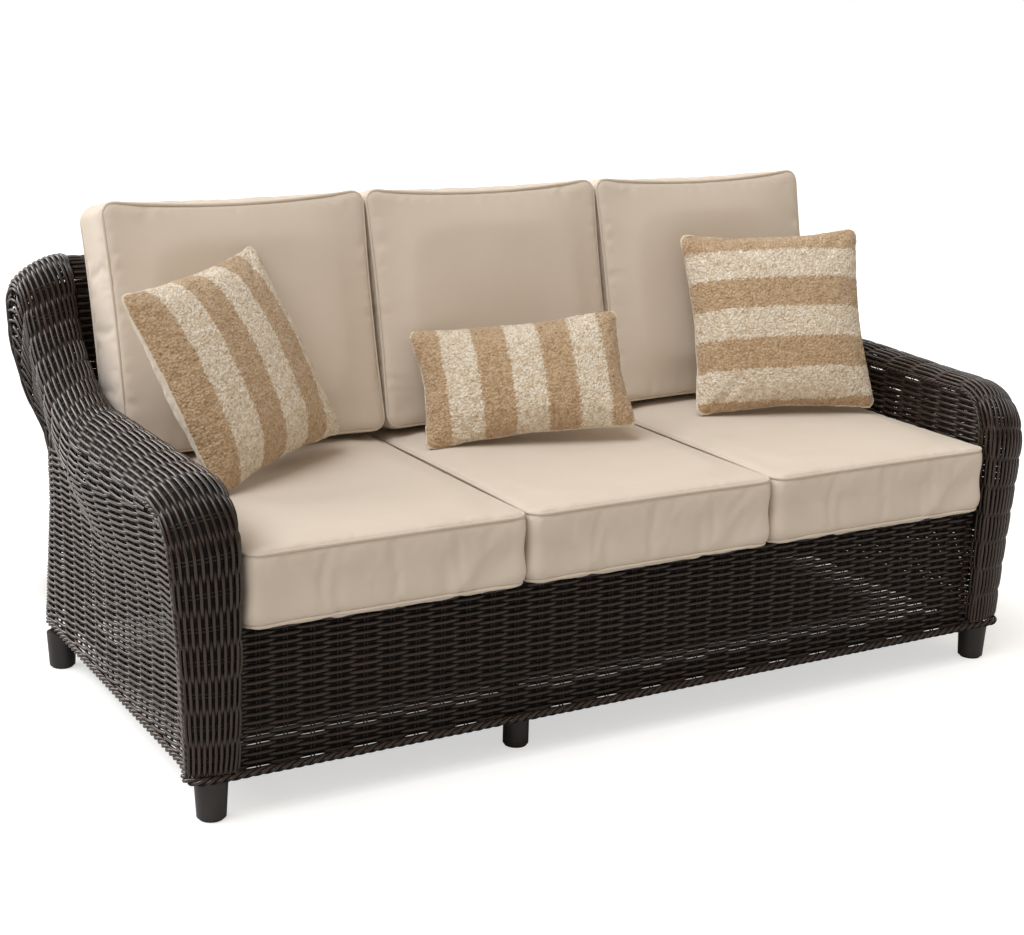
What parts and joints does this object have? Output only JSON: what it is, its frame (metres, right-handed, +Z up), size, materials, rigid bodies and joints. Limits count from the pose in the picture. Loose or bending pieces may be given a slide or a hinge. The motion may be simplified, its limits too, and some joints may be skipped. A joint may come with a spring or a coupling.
{
  "type": "garden sofa",
  "caption": "Woven wicker garden sofa with rolled arms that sweep up to a rolled back, a recessed front apron, loose boxed seat and back cushions and striped throw pillows.",
  "frame": {"origin": "on the floor, under the middle of the sofa's overall width and depth", "axes": "+X along the sofa towards its right arm as seen from the front, +Y from the front to the back, +Z up"},
  "size_m": [1.946, 0.9664, 0.9899],
  "materials": {
    "wicker": "espresso resin strand, semi-matte",
    "frame_tube": "brown powder coat",
    "webbing": "elastic webbing",
    "foot": "satin dark brown",
    "glide": "matt",
    "canvas": "plain woven canvas",
    "boucle": "striped boucle"
  },
  "bodies": {
    "sofa_frame": {"left_arm_roll": "wicker", "left_arm_outer_side": "wicker", "left_arm_inner_side": "wicker", "right_arm_roll": "wicker", "right_arm_outer_side": "wicker", "right_arm_inner_side": "wicker", "front_apron": "wicker", "back_panel": "wicker", "back_top_roll": "wicker", "rear_panel": "wicker", "base_border": "wicker", "left_arm_hoop": "frame_tube", "left_rear_post": "frame_tube", "left_lower_side_rail": "frame_tube", "left_seat_side_rail": "frame_tube", "right_arm_hoop": "frame_tube", "right_rear_post": "frame_tube", "right_lower_side_rail": "frame_tube", "right_seat_side_rail": "frame_tube", "front_lower_rail": "frame_tube", "front_seat_rail": "frame_tube", "rear_lower_rail": "frame_tube", "rear_seat_rail": "frame_tube", "back_top_rail": "frame_tube", "lower_cross_rail": "frame_tube", "seat_brace_1": "frame_tube", "seat_brace_2": "frame_tube", "back_upright_1": "frame_tube", "back_upright_2": "frame_tube", "back_upright_3": "frame_tube", "cross_strap_1": "webbing", "cross_strap_2": "webbing", "cross_strap_3": "webbing", "cross_strap_4": "webbing", "cross_strap_5": "webbing", "cross_strap_6": "webbing", "length_strap_1": "webbing", "length_strap_2": "webbing", "length_strap_3": "webbing", "front_left_foot": "foot", "front_right_foot": "foot", "rear_left_foot": "foot", "rear_right_foot": "foot", "middle_foot": "foot", "front_left_glide": "glide", "front_right_glide": "glide", "rear_left_glide": "glide", "rear_right_glide": "glide", "middle_glide": "glide"},
    "left_seat_cushion": {"left_seat_cushion": "canvas"},
    "left_back_cushion": {"left_back_cushion": "canvas"},
    "left_throw_pillow": {"left_throw_pillow": "boucle"},
    "middle_seat_cushion": {"middle_seat_cushion": "canvas"},
    "middle_back_cushion": {"middle_back_cushion": "canvas"},
    "lumbar_pillow": {"lumbar_pillow": "boucle"},
    "right_seat_cushion": {"right_seat_cushion": "canvas"},
    "right_back_cushion": {"right_back_cushion": "canvas"},
    "right_throw_pillow": {"right_throw_pillow": "boucle"}
  },
  "joints": [
    {"name": "left_seat_lift", "type": "slide", "parent": "sofa_frame", "child": "left_seat_cushion", "axis": [0, 0, 1], "range_m": [0, 0.35]},
    {"name": "left_back_lift", "type": "slide", "parent": "left_seat_cushion", "child": "left_back_cushion", "axis": [0, 0.2368, 0.9715], "range_m": [0, 0.5]},
    {"name": "left_throw_pillow_lift", "type": "slide", "parent": "left_seat_cushion", "child": "left_throw_pillow", "axis": [0, -0.5, 0.866], "range_m": [0, 0.4]},
    {"name": "middle_seat_lift", "type": "slide", "parent": "sofa_frame", "child": "middle_seat_cushion", "axis": [0, 0, 1], "range_m": [0, 0.35]},
    {"name": "middle_back_lift", "type": "slide", "parent": "middle_seat_cushion", "child": "middle_back_cushion", "axis": [0, 0.2368, 0.9715], "range_m": [0, 0.5]},
    {"name": "lumbar_pillow_lift", "type": "slide", "parent": "middle_seat_cushion", "child": "lumbar_pillow", "axis": [0, -0.5, 0.866], "range_m": [0, 0.4]},
    {"name": "right_seat_lift", "type": "slide", "parent": "sofa_frame", "child": "right_seat_cushion", "axis": [0, 0, 1], "range_m": [0, 0.35]},
    {"name": "right_back_lift", "type": "slide", "parent": "right_seat_cushion", "child": "right_back_cushion", "axis": [0, 0.2368, 0.9715], "range_m": [0, 0.5]},
    {"name": "right_throw_pillow_lift", "type": "slide", "parent": "right_seat_cushion", "child": "right_throw_pillow", "axis": [0, -0.5, 0.866], "range_m": [0, 0.4]}
  ]
}
